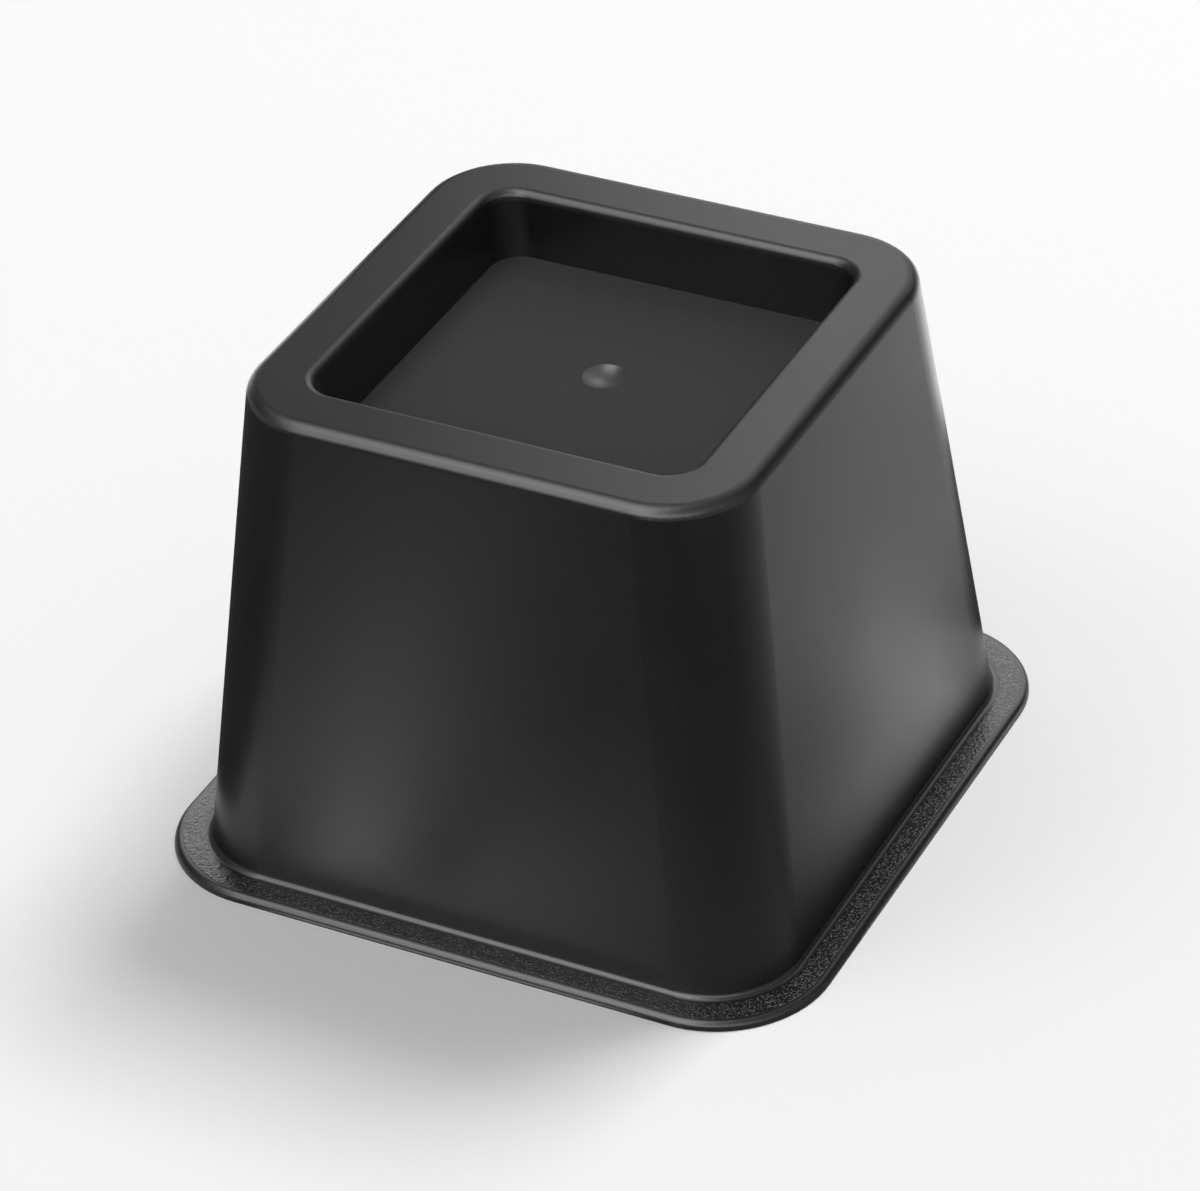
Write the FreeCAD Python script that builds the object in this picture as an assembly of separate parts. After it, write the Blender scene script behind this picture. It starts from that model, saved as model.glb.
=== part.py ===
# Square riser for a bed leg: one injection-moulded shell, with a socket in its top and ribs underneath.
# Millimetres, +Z up. The origin is on the floor, at the middle of the base.
import FreeCAD, Part
import os

# Overall form
height = 127.0
rim_width = 128.2            # across the rim, before its edge is rounded
foot_width = 155.0           # across the walls where they meet the flange
flange_width = 172.2
flange_thickness = 2.2
wall = 2.9                   # moulded thickness of the walls and of the rim

# Socket that takes the bed leg
socket_width = 98.6          # across the mouth, before its edge is rounded
socket_floor_width = 93.0
socket_depth = 17.0
socket_floor_thickness = 4.0

# Corner radii, seen from above
body_corner = 22.0           # the same from the foot up to the rim
flange_corner = 28.4
socket_corner = 8.0

# Rounded edges
rim_edge = 3.2
socket_edge = 2.0
foot_fillet = 1.4            # hollow curve where the walls meet the flange
flange_edge = 1.8

# Crossed ribs under the socket's floor, thinner towards the open base so that they leave the mould
rib_root = 3.0
rib_tip = 2.4
rib_setback = 1.5            # the flange carries the riser, and the ribs stop this far above the floor

# Dished gate mark in the socket's floor: a shallow cap of a ball
gate_radius = 5.5
gate_depth = 1.9
gate_place = (1.0, 5.6)

socket_floor_level = height - socket_depth
upright = FreeCAD.Vector(0, 0, 1)
middle = FreeCAD.Vector(0, 0, 0)
tolerance = 0.01


def quarter_arc(width, corner, level):
    """The corner of a rounded square that lies between its +X and +Y sides."""
    side = width / 2
    centre = side - corner
    halfway = centre + corner * 0.5 ** 0.5
    return Part.Arc(
        FreeCAD.Vector(side, centre, level),
        FreeCAD.Vector(halfway, halfway, level),
        FreeCAD.Vector(centre, side, level),
    ).toShape()


def four_times(shape):
    """The shape and its three copies, a quarter turn apart about the Z axis."""
    copies = []
    for quarter in range(4):
        copy = shape.copy()
        copy.rotate(middle, upright, 90 * quarter)
        copies.append(copy)
    return copies


def rounded_square(width, corner, level):
    """A level face with four straight sides and four round corners, centred on the Z axis."""
    side = width / 2
    centre = side - corner
    straight = Part.makeLine(FreeCAD.Vector(side, -centre, level), FreeCAD.Vector(side, centre, level))
    edges = four_times(straight) + four_times(quarter_arc(width, corner, level))
    return Part.Face(Part.Wire(Part.sortEdges(edges)[0]))


def tapered_block(lower_width, lower_level, upper_width, upper_level, corner):
    """A solid with flat sloping walls, and round corners of one radius from its bottom to its top."""
    low = lower_width / 2
    high = upper_width / 2
    flat_wall = Part.Face(Part.makePolygon([
        FreeCAD.Vector(low, corner - low, lower_level),
        FreeCAD.Vector(low, low - corner, lower_level),
        FreeCAD.Vector(high, high - corner, upper_level),
        FreeCAD.Vector(high, corner - high, upper_level),
        FreeCAD.Vector(low, corner - low, lower_level),
    ]))
    lean = FreeCAD.Vector(high - low, high - low, upper_level - lower_level)
    round_corner = quarter_arc(lower_width, corner, lower_level).extrude(lean)
    faces = four_times(flat_wall) + four_times(round_corner)
    faces.append(rounded_square(lower_width, corner, lower_level))
    faces.append(rounded_square(upper_width, corner, upper_level))
    skin = Part.makeShell(faces)
    skin.sewShape()
    return Part.makeSolid(skin)


def outline_edges(shape, level, width):
    """The edges of one rounded square: all at one level, and each one reaching the square's side."""
    found = []
    for edge in shape.Edges:
        box = edge.BoundBox
        reach = max(box.XMax, box.YMax, -box.XMin, -box.YMin)
        if max(abs(box.ZMin - level), abs(box.ZMax - level), abs(reach - width / 2)) < tolerance:
            found.append(edge)
    return found


def outside_form():
    """The tapered body on its flange, solid, with its outer edges rounded."""
    body = tapered_block(foot_width, flange_thickness, rim_width, height, body_corner)
    flange = rounded_square(flange_width, flange_corner, 0).extrude(upright * flange_thickness)
    form = body.fuse(flange).removeSplitter()
    form = form.makeFillet(rim_edge, outline_edges(form, height, rim_width))
    form = form.makeFillet(foot_fillet, outline_edges(form, flange_thickness, foot_width))
    return form.makeFillet(flange_edge, outline_edges(form, flange_thickness, flange_width))


def socket_space():
    """The room for the bed leg, narrower at its floor, with the dished gate mark below."""
    space = tapered_block(socket_floor_width, socket_floor_level, socket_width, height, socket_corner)
    ball_radius = (gate_radius ** 2 + gate_depth ** 2) / (2 * gate_depth)
    ball_level = socket_floor_level - gate_depth + ball_radius
    return space.fuse(Part.makeSphere(ball_radius, FreeCAD.Vector(*gate_place, ball_level)))


def socket_box():
    """The socket's outside: its walls and floor as they stand inside the hollow shell."""
    underside = socket_floor_level - socket_floor_thickness
    floor_width = socket_floor_width + 2 * wall
    return tapered_block(floor_width, underside, socket_width + 2 * wall, height, socket_corner + wall)


def rib(angle):
    """One upright rib through the middle, thick at the top and thin at the base."""
    start = -foot_width / 2
    section = Part.Face(Part.makePolygon([
        FreeCAD.Vector(start, -rib_tip / 2, rib_setback),
        FreeCAD.Vector(start, rib_tip / 2, rib_setback),
        FreeCAD.Vector(start, rib_root / 2, height),
        FreeCAD.Vector(start, -rib_root / 2, height),
        FreeCAD.Vector(start, -rib_tip / 2, rib_setback),
    ]))
    plate = section.extrude(FreeCAD.Vector(foot_width, 0, 0))
    plate.rotate(middle, upright, angle)
    return plate


def hollow():
    """The open space inside the shell, around the socket and between the ribs."""
    inside_corner = body_corner - wall
    space = tapered_block(foot_width - 2 * wall, 0, rim_width - 2 * wall, height - wall, inside_corner)
    return space.cut([socket_box(), rib(0), rib(90)])


def riser():
    """The whole moulding."""
    form = outside_form().cut([socket_space(), hollow()])
    return form.makeFillet(socket_edge, outline_edges(form, height, socket_width))


moulding = riser()
os.makedirs("parts", exist_ok=True)
moulding.exportStep("parts/riser.step")
print("valid", moulding.isValid(), "solids", len(moulding.Solids), "faces", len(moulding.Faces))
print("volume in cubic centimetres", round(moulding.Volume / 1000, 1))
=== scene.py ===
import math
import bmesh
import bpy
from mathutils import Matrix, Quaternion, Vector, noise


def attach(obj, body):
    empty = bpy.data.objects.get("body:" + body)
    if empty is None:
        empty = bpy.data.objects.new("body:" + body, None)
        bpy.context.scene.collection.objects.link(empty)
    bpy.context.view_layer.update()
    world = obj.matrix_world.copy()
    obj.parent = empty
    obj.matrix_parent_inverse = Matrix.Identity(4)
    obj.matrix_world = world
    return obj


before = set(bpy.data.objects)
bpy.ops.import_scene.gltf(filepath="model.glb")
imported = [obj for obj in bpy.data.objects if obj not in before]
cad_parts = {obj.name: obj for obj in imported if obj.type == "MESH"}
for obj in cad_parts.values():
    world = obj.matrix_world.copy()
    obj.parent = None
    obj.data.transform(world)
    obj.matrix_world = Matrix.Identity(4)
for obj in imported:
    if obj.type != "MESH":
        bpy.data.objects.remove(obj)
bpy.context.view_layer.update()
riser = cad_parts["riser"]
scene = bpy.context.scene
scene.view_settings.view_transform = "Standard"
mm = 0.001
print("frame loaded:", sorted(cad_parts))


# node helpers

def addNode(tree, kind, feeds=None, **settings):
    made = tree.nodes.new(kind)
    for name, value in settings.items():
        setattr(made, name, value)
    for key, value in (feeds or {}).items():
        if isinstance(value, bpy.types.NodeSocket):
            tree.links.new(value, made.inputs[key])
        else:
            made.inputs[key].default_value = value
    return made


def mathNode(tree, operation, first, second):
    return addNode(tree, "ShaderNodeMath", {0: first, 1: second}, operation=operation).outputs[0]


def vectorNode(tree, operation, first, second=(0.0, 0.0, 0.0)):
    return addNode(tree, "ShaderNodeVectorMath", {0: first, 1: second}, operation=operation)


def rampNode(tree, value, low, high, toLow=0.0, toHigh=1.0):
    feeds = {0: value, 1: low, 2: high, 3: toLow, 4: toHigh}
    return addNode(tree, "ShaderNodeMapRange", feeds, interpolation_type="SMOOTHSTEP").outputs[0]


def mixValue(tree, mask, first, second):
    return addNode(tree, "ShaderNodeMix", {0: mask, 2: first, 3: second}, data_type="FLOAT").outputs[0]


def mixColour(tree, mask, first, second):
    return addNode(tree, "ShaderNodeMix", {0: mask, 6: first, 7: second}, data_type="RGBA").outputs[2]


def startGroup(name, values, outputs):
    group = bpy.data.node_groups.new(name, "ShaderNodeTree")
    group.interface.new_socket(name="Vector", in_out="INPUT", socket_type="NodeSocketVector")
    for label in values:
        group.interface.new_socket(name=label, in_out="INPUT", socket_type="NodeSocketFloat")
    for label in outputs:
        group.interface.new_socket(name=label, in_out="OUTPUT", socket_type="NodeSocketFloat")
    given = group.nodes.new("NodeGroupInput").outputs
    result = group.nodes.new("NodeGroupOutput").inputs
    return group, given, result


def useGroup(tree, group, feeds):
    return addNode(tree, "ShaderNodeGroup", feeds, node_tree=group).outputs


def startMaterial(name):
    material = bpy.data.materials.new(name)
    material.use_nodes = True
    tree = material.node_tree
    tree.nodes.clear()
    shader = tree.nodes.new("ShaderNodeBsdfPrincipled")
    output = tree.nodes.new("ShaderNodeOutputMaterial")
    tree.links.new(shader.outputs[0], output.inputs["Surface"])
    return material, tree, shader


# effects that the materials share

grainTexture = {
    "detail": 2.0,
    "peakSoftness": 0.6,
    "peakShare": 0.6,
}

driftTexture = {
    "broadScale": 28.0,         # patches to the metre
    "broadDetail": 2.0,
    "cloudyScale": 260.0,
    "cloudyDetail": 3.0,
    "cloudyShare": 0.35,
    "middle": 0.5,              # of the noise, where the gloss stays as given
}


def noiseNode(tree, place, scale, detail):
    feeds = {"Vector": place, "Scale": scale, "Detail": detail}
    return addNode(tree, "ShaderNodeTexNoise", feeds).outputs[0]


def makeMouldGrain(texture):
    # spark-eroded mould texture: soft peaks, with finer roughness between them
    group, given, result = startGroup("mould grain", ["Grain Size"], ["Height"])
    scale = mathNode(group, "DIVIDE", 1.0, given["Grain Size"])
    coarse = noiseNode(group, given["Vector"], scale, texture["detail"])
    cells = addNode(
        group,
        "ShaderNodeTexVoronoi",
        {"Vector": given["Vector"], "Scale": scale, "Smoothness": texture["peakSoftness"]},
        feature="SMOOTH_F1",
    )
    peaks = mathNode(group, "MULTIPLY", cells.outputs["Distance"], -texture["peakShare"])
    group.links.new(mathNode(group, "ADD", coarse, peaks), result["Height"])
    return group


def makeGlossDrift(texture):
    # moulded plastic is never evenly glossy: broad drifts from the flow, and small cloudy patches
    group, given, result = startGroup("gloss drift", ["Roughness", "Spread"], ["Roughness", "Patch"])
    broad = noiseNode(group, given["Vector"], texture["broadScale"], texture["broadDetail"])
    cloudy = noiseNode(group, given["Vector"], texture["cloudyScale"], texture["cloudyDetail"])
    patch = mixValue(group, texture["cloudyShare"], broad, cloudy)
    centred = mathNode(group, "SUBTRACT", patch, texture["middle"])
    change = mathNode(group, "MULTIPLY", centred, given["Spread"])
    group.links.new(mathNode(group, "ADD", given["Roughness"], change), result["Roughness"])
    group.links.new(patch, result["Patch"])
    return group


def makeSquareZone():
    # 1 inside an upright rounded square round the Z axis, 0 outside it
    group, given, result = startGroup("square zone", ["Half Width", "Corner", "Softness"], ["Inside"])
    level = vectorNode(group, "MULTIPLY", given["Vector"], (1.0, 1.0, 0.0)).outputs[0]
    folded = vectorNode(group, "ABSOLUTE", level).outputs[0]
    centre = mathNode(group, "SUBTRACT", given["Half Width"], given["Corner"])
    past = vectorNode(group, "SUBTRACT", folded, centre).outputs[0]
    beyond = vectorNode(group, "MAXIMUM", past).outputs[0]
    reach = vectorNode(group, "LENGTH", beyond).outputs["Value"]
    gap = mathNode(group, "SUBTRACT", given["Corner"], reach)
    share = mathNode(group, "DIVIDE", gap, given["Softness"])
    group.links.new(rampNode(group, share, -1.0, 1.0), result["Inside"])
    return group


mouldGrain = makeMouldGrain(grainTexture)
glossDrift = makeGlossDrift(driftTexture)
squareZone = makeSquareZone()
print("shared effects ready")


# finish of the moulding

satinFinish = {
    "deepBlack": (0.0050, 0.0050, 0.0052, 1.0),
    "paleBlack": (0.0090, 0.0090, 0.0093, 1.0),
    "mattBlack": (0.0080, 0.0080, 0.0083, 1.0),    # socket's floor
    "gatePaintedSheen": (0.0500, 0.0500, 0.0510, 1.0),    # painted sheen: the gate's dish, polished by the gate's pin, painted lighter for its gloss
    "wallRoughness": 0.34,
    "rimRoughness": 0.40,
    "socketRoughness": 0.24,
    "seatRoughness": 0.80,
    "gateRoughness": 0.34,
    "hollowRoughness": 0.52,
    "drift": 0.10,
    "ior": 1.54,
    "grainSize": 0.45 * mm,
    "grainDepth": 0.010 * mm,
    "zoneBlend": 0.4 * mm,                  # blends: how far one finish takes to give way to the next
    "rimLevel": 125.0 * mm,
    "rimBlend": 0.8 * mm,
    "socketHalf": 49.3 * mm,
    "socketCorner": 8.0 * mm,
    "socketLevel": 108.0 * mm,              # inside the thickness of the socket's floor
    "socketBlend": 0.5 * mm,
    "socketFloor": 110.0 * mm,
    "seatRise": (0.05 * mm, 0.40 * mm),     # from the matt floor to the glossier walls
    "dishDrop": (0.25 * mm, 0.05 * mm),     # from the gate's dish to the matt floor
    "socketMouth": 124.0 * mm,
    "mouthBlend": 1.0 * mm,
    "hollowHalfAtFloor": 76.2 * mm,         # runs inside the wall's thickness
    "hollowHalfAtRim": 62.4 * mm,
    "hollowCorner": 20.5 * mm,
    "hollowTop": 123.0 * mm,
    "hollowBlend": 2.0 * mm,
}


def addGrain(tree, shader, place, size, depth):
    grain = useGroup(tree, mouldGrain, {"Vector": place, "Grain Size": size})["Height"]
    bump = addNode(tree, "ShaderNodeBump", {"Height": grain, "Strength": 1.0, "Distance": depth})
    tree.links.new(bump.outputs[0], shader.inputs["Normal"])


def insideSquare(tree, place, half, corner, softness):
    feeds = {"Vector": place, "Half Width": half, "Corner": corner, "Softness": softness}
    return useGroup(tree, squareZone, feeds)["Inside"]


def socketZones(tree, place, level, look):
    # the whole socket, its walls up to the mouth, its matt floor and the gate's dish
    plan = insideSquare(tree, place, look["socketHalf"], look["socketCorner"], look["zoneBlend"])
    aboveFloor = rampNode(tree, level, look["socketLevel"] - look["socketBlend"], look["socketLevel"])
    socket = mathNode(tree, "MULTIPLY", plan, aboveFloor)
    mouth = look["socketMouth"]
    belowMouth = rampNode(tree, level, mouth, mouth + look["mouthBlend"], 1.0, 0.0)
    aboveSeat = mathNode(tree, "SUBTRACT", level, look["socketFloor"])
    nearSeat = rampNode(tree, aboveSeat, *look["seatRise"], 1.0, 0.0)
    deep, shallow = look["dishDrop"]
    belowSeat = rampNode(tree, aboveSeat, -deep, -shallow, 1.0, 0.0)
    walls = mathNode(tree, "MULTIPLY", socket, belowMouth)
    seat = mathNode(tree, "MULTIPLY", socket, nearSeat)
    gate = mathNode(tree, "MULTIPLY", socket, belowSeat)
    return socket, walls, seat, gate


def hollowZone(tree, place, level, socket, look):
    # the open underside, round the socket and up to the rim
    top = look["hollowTop"]
    halves = {0: level, 1: 0.0, 2: top, 3: look["hollowHalfAtFloor"], 4: look["hollowHalfAtRim"]}
    half = addNode(tree, "ShaderNodeMapRange", halves).outputs[0]
    plan = insideSquare(tree, place, half, look["hollowCorner"], look["zoneBlend"])
    belowRim = rampNode(tree, level, top, top + look["hollowBlend"], 1.0, 0.0)
    notSocket = mathNode(tree, "SUBTRACT", 1.0, socket)
    return mathNode(tree, "MULTIPLY", mathNode(tree, "MULTIPLY", plan, belowRim), notSocket)


def makeSatinBlack(look):
    material, tree, shader = startMaterial("satin black moulding")
    place = addNode(tree, "ShaderNodeTexCoord").outputs["Object"]
    level = addNode(tree, "ShaderNodeSeparateXYZ", {0: place}).outputs["Z"]
    rim = rampNode(tree, level, look["rimLevel"], look["rimLevel"] + look["rimBlend"])
    socket, socketWalls, seat, gate = socketZones(tree, place, level, look)
    hollow = hollowZone(tree, place, level, socket, look)
    gloss = mixValue(tree, rim, look["wallRoughness"], look["rimRoughness"])
    gloss = mixValue(tree, socketWalls, gloss, look["socketRoughness"])
    gloss = mixValue(tree, seat, gloss, look["seatRoughness"])
    gloss = mixValue(tree, hollow, gloss, look["hollowRoughness"])
    gloss = mixValue(tree, gate, gloss, look["gateRoughness"])
    drift = useGroup(tree, glossDrift, {"Vector": place, "Roughness": gloss, "Spread": look["drift"]})
    tree.links.new(drift["Roughness"], shader.inputs["Roughness"])
    black = mixColour(tree, drift["Patch"], look["deepBlack"], look["paleBlack"])
    black = mixColour(tree, seat, black, look["mattBlack"])
    # painted sheen: the gate's dish gets a lighter colour standing for its polished gloss
    black = mixColour(tree, gate, black, look["gatePaintedSheen"])
    tree.links.new(black, shader.inputs["Base Color"])
    addGrain(tree, shader, place, look["grainSize"], look["grainDepth"])
    shader.inputs["IOR"].default_value = look["ior"]
    return material


def dressNode(node, material):
    if not node.material_slots:
        node.data.materials.append(material)
    for slot in node.material_slots:
        slot.material = material


dressNode(riser, makeSatinBlack(satinFinish))
print("riser dressed")


# stippled band on the flange

flangeBand = {
    "innerHalf": 79.0 * mm,
    "innerCorner": 23.5 * mm,
    "outerHalf": 84.2 * mm,
    "outerCorner": 26.5 * mm,
    "top": 2.2 * mm,
    "under": 1.9 * mm,          # the band's foot, hidden inside the flange
    "step": 0.21 * mm,          # spacing of the mesh
    "grain": 0.50 * mm,
    "swellGrain": 2.5,          # broad swells of the stipple, in grains
    "pebbleFall": 2.2,          # how steeply each pebble falls off
    "depth": 0.13 * mm,
    "lift": 0.03 * mm,          # the band stands this far above the flange, and its edges as far below
    "fade": 0.5 * mm,           # the stipple dies out over this width at both edges
    "roughness": 0.30,
    "glintColour": (0.105, 0.105, 0.108, 1.0),    # painted glints: pale specks that stand for light catching on the grain's tips
    "glintGrain": 0.48 * mm,
    "glintDetail": 1.0,
    "glintFrom": 0.53,
    "glintTo": 0.64,
    "fineGrain": 0.30 * mm,
    "fineDepth": 0.020 * mm,
}


def roundedSquare(half, corner, straightCount, arcCount):
    centre = half - corner
    points = []
    for quarter in range(4):
        turn = Quaternion((0, 0, 1), quarter * math.pi / 2)
        for index in range(straightCount):
            points.append(turn @ Vector((half, -centre + 2 * centre * index / straightCount, 0)))
        for index in range(arcCount):
            angle = math.pi / 2 * index / arcCount
            across = centre + corner * math.cos(angle)
            along = centre + corner * math.sin(angle)
            points.append(turn @ Vector((across, along, 0)))
    return points


def stipple(point, band):
    # small uneven pebbles, as spark erosion leaves them in a mould
    near = noise.voronoi(point / band["grain"])[0][0]
    swell = 0.5 + 0.5 * noise.noise(point / (band["swellGrain"] * band["grain"]))
    return max(0.0, 1.0 - band["pebbleFall"] * near * near) * swell


def bandHeight(point, share, width, band):
    rise = min(1.0, min(share, 1 - share) * width / band["fade"])
    return band["depth"] * stipple(point, band) * rise + band["lift"] * (2 * rise - 1)


def bandLoops(shape, band):
    # loops round the flange: the inner foot, the stippled top from the inside out, the outer foot
    width = band["outerHalf"] - band["innerHalf"]
    rows = round(width / band["step"])
    straightCount = round(2 * (band["innerHalf"] - band["innerCorner"]) / band["step"])
    arcCount = round(band["innerCorner"] * math.pi / 2 / band["step"])
    inner = roundedSquare(band["innerHalf"], band["innerCorner"], straightCount, arcCount)
    outer = roundedSquare(band["outerHalf"], band["outerCorner"], straightCount, arcCount)
    top = []
    for row in range(rows + 1):
        share = row / rows
        ring = []
        for near, far in zip(inner, outer):
            point = near.lerp(far, share)
            height = band["top"] + bandHeight(point, share, width, band)
            ring.append(shape.verts.new((point.x, point.y, height)))
        top.append(ring)
    innerFoot = [shape.verts.new((point.x, point.y, band["under"])) for point in inner]
    outerFoot = [shape.verts.new((point.x, point.y, band["under"])) for point in outer]
    return [innerFoot] + top + [outerFoot]


def makeFlangeBand(band):
    shape = bmesh.new()
    loops = bandLoops(shape, band)
    count = len(loops[0])
    for first, second in zip(loops, loops[1:] + loops[:1]):
        for index in range(count):
            after = (index + 1) % count
            shape.faces.new((first[index], second[index], second[after], first[after]))
    bmesh.ops.recalc_face_normals(shape, faces=shape.faces)
    mesh = bpy.data.meshes.new("flange_grain")
    shape.to_mesh(mesh)
    shape.free()
    for polygon in mesh.polygons:
        polygon.use_smooth = True
    piece = bpy.data.objects.new("flange_grain", mesh)
    scene.collection.objects.link(piece)
    return piece


def makeStippledBlack(look, band):
    material, tree, shader = startMaterial("stippled black moulding")
    place = addNode(tree, "ShaderNodeTexCoord").outputs["Object"]
    drift = useGroup(tree, glossDrift, {
        "Vector": place, "Roughness": band["roughness"], "Spread": look["drift"],
    })
    tree.links.new(drift["Roughness"], shader.inputs["Roughness"])
    # painted glints: a noise mask scatters pale specks over the band, standing for light caught by the grain
    glintNoise = noiseNode(tree, place, 1.0 / band["glintGrain"], band["glintDetail"])
    glintMask = rampNode(tree, glintNoise, band["glintFrom"], band["glintTo"])
    tree.links.new(mixColour(tree, glintMask, look["deepBlack"], band["glintColour"]), shader.inputs["Base Color"])
    addGrain(tree, shader, place, band["fineGrain"], band["fineDepth"])
    shader.inputs["IOR"].default_value = look["ior"]
    return material


flangeGrain = makeFlangeBand(flangeBand)
flangeGrain.data.materials.append(makeStippledBlack(satinFinish, flangeBand))
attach(flangeGrain, "root")
print("flange band:", len(flangeGrain.data.polygons), "faces")


# studio

pureWhite = (1.0, 1.0, 1.0, 1.0)
pureBlack = (0.0, 0.0, 0.0, 1.0)

studio = {
    "floorSize": 12.0,
    "floorColour": (0.90, 0.90, 0.90, 1.0),
    "floorRoughness": 0.9,
    "floorGlow": 0.05,            # whiter paper, only as it is seen
    "skyLevel": 0.41,
    "keyPlace": (0.72, 2.16, 3.75),
    "keySize": 1.50,
    "keyPower": 117.0,
    "fillPlace": (-0.52, -0.48, 1.05),
    "fillSize": 0.60,
    "fillPower": 1.7,
    "aim": (0.0, 0.0, 0.06),
}

# cards that only reflections see: they give the black plastic its dark corner, dark edges and bright lines
# a flat card has an outline and its lift off the floor, an upright one two ends and the heights it reaches
# a card with fades goes from its first level to its second, from the dark to the pale point of each fade
cards = {
    "dark table": {
        "level": 0.04,
        "outline": [
            (-0.65, -0.093), (-0.65, -0.75), (0.75, -0.75), (0.75, 0.95), (0.118, 0.060), (0.095, -0.093),
        ],
        "lift": 0.2 * mm,
    },
    "pale mat front": {
        "level": (0.04, 0.80),
        "fades": [[(0.0, -0.21), (0.0, -0.10)], [(0.085, 0.0), (-0.02, 0.0)]],
        "outline": [(-0.105, -0.093), (0.085, -0.093), (0.025, -0.21), (-0.165, -0.21)],
        "lift": 0.3 * mm,
    },
    "dark table left": {
        "level": 0.06,
        "outline": [(-0.095, -0.092), (-0.095, 0.080), (-0.45, 0.47), (-0.65, 0.47), (-0.65, -0.092)],
        "lift": 0.2 * mm,
    },
    "dark table back": {
        "level": 0.04,
        "outline": [(-0.085, 0.093), (0.105, 0.093), (0.070, 0.36), (-0.22, 0.36)],
        "lift": 0.2 * mm,
    },
    "pale strip front": {
        "level": (0.06, 1.6),
        "fades": [[(-0.063, -0.0820), (-0.039, -0.0930)], [(-0.015, -0.1040), (-0.039, -0.0930)]],
        "outline": [(-0.063, -0.0900), (-0.015, -0.1040), (-0.135, -0.3755), (-0.183, -0.3535)],
        "lift": 0.4 * mm,
    },
    "pale shoulder right": {
        "level": (0.04, 0.45),
        "fades": [[(0.0613, -0.0825), (0.0973, 0.1214)]],
        "outline": [(0.0885, -0.038), (0.0885, -0.065), (0.36, -0.14), (0.36, 0.10), (0.32, 0.33)],
        "lift": 0.3 * mm,
    },
    "pale strip right": {
        "level": (0.15, 2.30),
        "fades": [[(0.0750, -0.0306), (0.0524, -0.0178)]],
        "outline": [(0.088, -0.038), (0.088, 0.056), (0.40, 0.550), (0.40, 0.451)],
        "lift": 0.4 * mm,
    },
    "pale foot right": {
        "level": (0.12, 1.85),
        "fades": [[(0.0, -0.045), (0.0, 0.080)]],
        "outline": [(0.0866, -0.045), (0.106, -0.035), (0.106, 0.085), (0.0866, 0.062)],
        "lift": 0.5 * mm,
    },
    "pale lip front": {
        "level": (0.04, 3.0),
        "fades": [[(-0.058, 0.0), (-0.035, 0.0)], [(0.058, 0.0), (0.035, 0.0)]],
        "outline": [(-0.058, -0.0864), (-0.058, -0.0880), (0.058, -0.0880), (0.058, -0.0864)],
        "lift": 0.2 * mm,
    },
    "pale mat corner": {
        "level": (0.04, 0.28),
        "fades": [[(0.19, -0.19), (0.085, -0.085)]],
        "outline": [(0.060, -0.0885), (0.0885, -0.035), (0.22, -0.02), (0.24, -0.24), (0.03, -0.22)],
        "lift": 0.35 * mm,
    },
    "pale card front": {"level": 5.5, "ends": [(-1.0, -1.5), (0.5, -1.5)], "reach": (0.44, 1.2)},
    "pale card front right": {"level": 4.0, "ends": [(0.5, -1.5), (1.2, -0.9)], "reach": (0.55, 1.2)},
    "pale card far right": {"level": 0.9, "ends": [(1.2, -0.9), (1.2, 0.2)], "reach": (0.45, 1.1)},
    "dark screen front": {"level": 0.03, "ends": [(-0.65, -0.76), (0.75, -0.76)], "reach": (0.0, 0.20)},
    "dark screen right": {"level": 0.03, "ends": [(0.50, 0.30), (0.50, 0.46)], "reach": (0.0, 0.75)},
    "dark screen back": {"level": 0.03, "ends": [(0.50, 0.46), (0.26, 0.46)], "reach": (0.08, 0.75)},
    "dark screen low": {"level": 0.03, "ends": [(0.26, 0.46), (0.02, 0.46)], "reach": (0.08, 0.28)},
    "grey screen back": {"level": 1.1, "ends": [(0.26, 0.46), (0.02, 0.46)], "reach": (0.28, 0.75)},
    "dark screen left": {"level": 0.03, "ends": [(-0.75, -0.30), (-0.75, 0.46)], "reach": (0.20, 1.1)},
    "pale panel back": {
        "level": (0.0, 2.15),
        "fades": [[(-0.36, 0.45), (-0.13, 0.45)]],
        "ends": [(-0.12, 0.45), (-0.75, 0.45)],
        "reach": (0.20, 0.75),
    },
    "pale panel edge": {
        "level": (1.0, 2.15),
        "fades": [[(0.02, 0.45), (-0.12, 0.45)]],
        "ends": [(0.02, 0.45), (-0.12, 0.45)],
        "reach": (0.20, 0.75),
    },
    "softbox overhead": {
        "level": (2.0, 6.6),
        "fades": [[(0.0, 0.30), (0.0, -0.50)]],
        "outline": [(-0.74, -1.5), (0.05, -1.5), (0.05, 0.20), (-0.74, 0.20)],
        "lift": 1.2,
    },
    "pale card left": {"level": 3.0, "ends": [(-0.24, 0.06), (-0.12, 0.06)], "reach": (0.04, 0.15)},
    "pale card right": {"level": 2.4, "ends": [(0.0, 0.17), (0.11, 0.17)], "reach": (0.02, 0.12)},
}


def makePaleFloor(look):
    material, tree, shader = startMaterial("pale floor")
    shader.inputs["Base Color"].default_value = look["floorColour"]
    shader.inputs["Roughness"].default_value = look["floorRoughness"]
    shader.inputs["Specular IOR Level"].default_value = 0.0
    shader.inputs["Emission Color"].default_value = pureWhite
    seen = tree.nodes.new("ShaderNodeLightPath").outputs
    seenOrMirrored = mathNode(tree, "MAXIMUM", seen["Is Camera Ray"], seen["Is Glossy Ray"])
    seenAtAll = mathNode(tree, "MAXIMUM", seenOrMirrored, seen["Is Transmission Ray"])
    glow = mathNode(tree, "MULTIPLY", seenAtAll, look["floorGlow"])
    tree.links.new(glow, shader.inputs["Emission Strength"])
    return material


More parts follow.
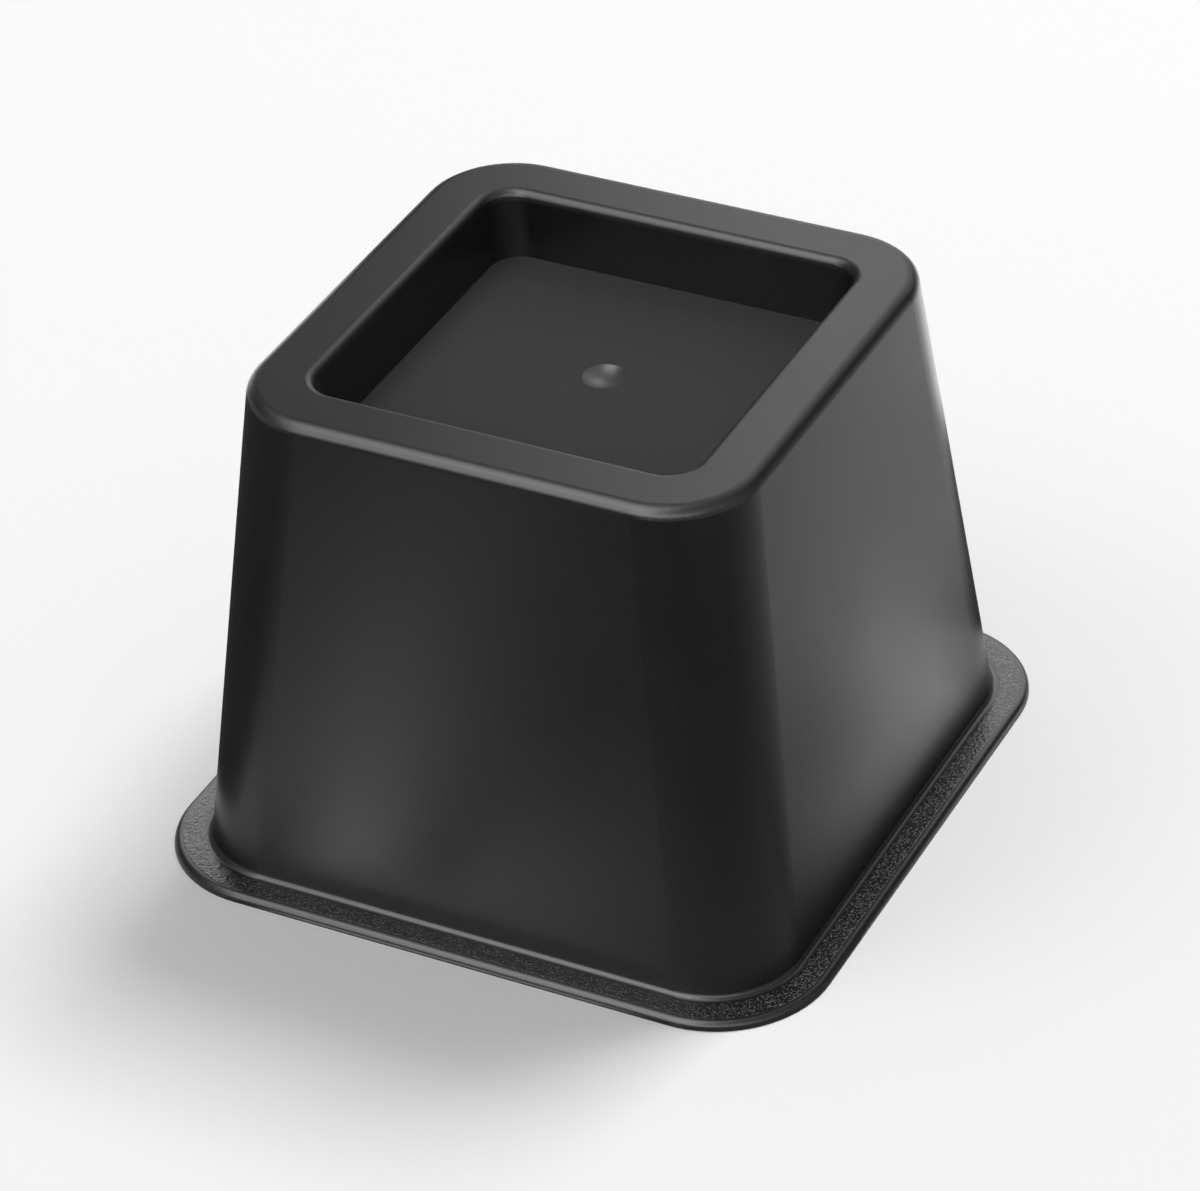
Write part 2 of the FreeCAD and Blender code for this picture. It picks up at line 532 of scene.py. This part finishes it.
def makeFloor(look):
    reach = look["floorSize"] / 2
    corners = [(-reach, -reach, 0), (reach, -reach, 0), (reach, reach, 0), (-reach, reach, 0)]
    mesh = bpy.data.meshes.new("floor")
    mesh.from_pydata(corners, [], [(0, 1, 2, 3)])
    mesh.materials.append(makePaleFloor(look))
    floor = bpy.data.objects.new("floor", mesh)
    scene.collection.objects.link(floor)


def makeSoftbox(name, place, size, power, aim):
    lamp = bpy.data.lights.new(name, "AREA")
    lamp.shape = "SQUARE"
    lamp.size = size
    lamp.energy = power
    box = bpy.data.objects.new(name, lamp)
    box.location = place
    box.rotation_euler = (Vector(aim) - Vector(place)).to_track_quat("-Z", "Y").to_euler()
    box.visible_glossy = False      # the cards make the reflections
    scene.collection.objects.link(box)


def makeWorld(look):
    world = bpy.data.worlds.new("studio")
    scene.world = world
    world.use_nodes = True
    tree = world.node_tree
    tree.nodes.clear()
    sky = addNode(tree, "ShaderNodeBackground", {"Color": pureWhite, "Strength": look["skyLevel"]})
    output = tree.nodes.new("ShaderNodeOutputWorld")
    tree.links.new(sky.outputs[0], output.inputs["Surface"])


def fadeShare(tree, dark, pale):
    start = Vector((*dark, 0.0))
    along = Vector((*pale, 0.0)) - start
    place = addNode(tree, "ShaderNodeNewGeometry").outputs["Position"]
    fromStart = vectorNode(tree, "SUBTRACT", place, start).outputs[0]
    share = vectorNode(tree, "DOT_PRODUCT", fromStart, along / along.length_squared).outputs["Value"]
    return rampNode(tree, share, 0.0, 1.0)


def fadeLevel(tree, card):
    share = 1.0
    for dark, pale in card["fades"]:
        share = mathNode(tree, "MULTIPLY", fadeShare(tree, dark, pale), share)
    return mixValue(tree, share, *card["level"])


def cardPoints(card):
    if "outline" in card:
        return [(x, y, card["lift"]) for x, y in card["outline"]]
    one, other = card["ends"]
    bottom, top = card["reach"]
    return [(*one, bottom), (*other, bottom), (*other, top), (*one, top)]


def makeCardGlow(name, card):
    material, tree, shader = startMaterial(name)
    shader.inputs["Base Color"].default_value = pureBlack
    shader.inputs["Specular IOR Level"].default_value = 0.0
    shader.inputs["Emission Color"].default_value = pureWhite
    if "fades" in card:
        tree.links.new(fadeLevel(tree, card), shader.inputs["Emission Strength"])
    else:
        shader.inputs["Emission Strength"].default_value = card["level"]
    return material


def makeCard(name, card):
    points = cardPoints(card)
    mesh = bpy.data.meshes.new(name)
    mesh.from_pydata(points, [], [list(range(len(points)))])
    mesh.materials.append(makeCardGlow(name, card))
    made = bpy.data.objects.new(name, mesh)
    scene.collection.objects.link(made)
    made.visible_camera = False
    made.visible_diffuse = False
    made.visible_shadow = False
    made.visible_transmission = False


makeFloor(studio)
makeSoftbox("key", studio["keyPlace"], studio["keySize"], studio["keyPower"], studio["aim"])
makeSoftbox("fill", studio["fillPlace"], studio["fillSize"], studio["fillPower"], studio["aim"])
makeWorld(studio)
for cardName, card in cards.items():
    makeCard(cardName, card)
print("studio lit")


# camera at the photograph's angle

photoView = {
    "aim": (0.0, 0.0, 0.050),
    "azimuth": 28.0,          # degrees round from the front wall towards the right one
    "elevation": 34.9,
    "roll": -2.85,            # the picture leans a little
    "distance": 1.25,
    "lens": 155.0,
    "sensor": 36.0,
    "farEnd": 50.0,
}


def makeCamera(view):
    azimuth = math.radians(view["azimuth"])
    elevation = math.radians(view["elevation"])
    back = Vector((
        math.sin(azimuth) * math.cos(elevation),
        -math.cos(azimuth) * math.cos(elevation),
        math.sin(elevation),
    ))
    data = bpy.data.cameras.new("camera")
    data.lens = view["lens"]
    data.sensor_fit = "HORIZONTAL"
    data.sensor_width = view["sensor"]
    data.clip_end = view["farEnd"]
    camera = bpy.data.objects.new("camera", data)
    camera.location = Vector(view["aim"]) + back * view["distance"]
    turn = (-back).to_track_quat("-Z", "Y") @ Quaternion((0, 0, 1), math.radians(view["roll"]))
    camera.rotation_mode = "QUATERNION"
    camera.rotation_quaternion = turn
    scene.collection.objects.link(camera)
    scene.camera = camera


makeCamera(photoView)
print("camera set")
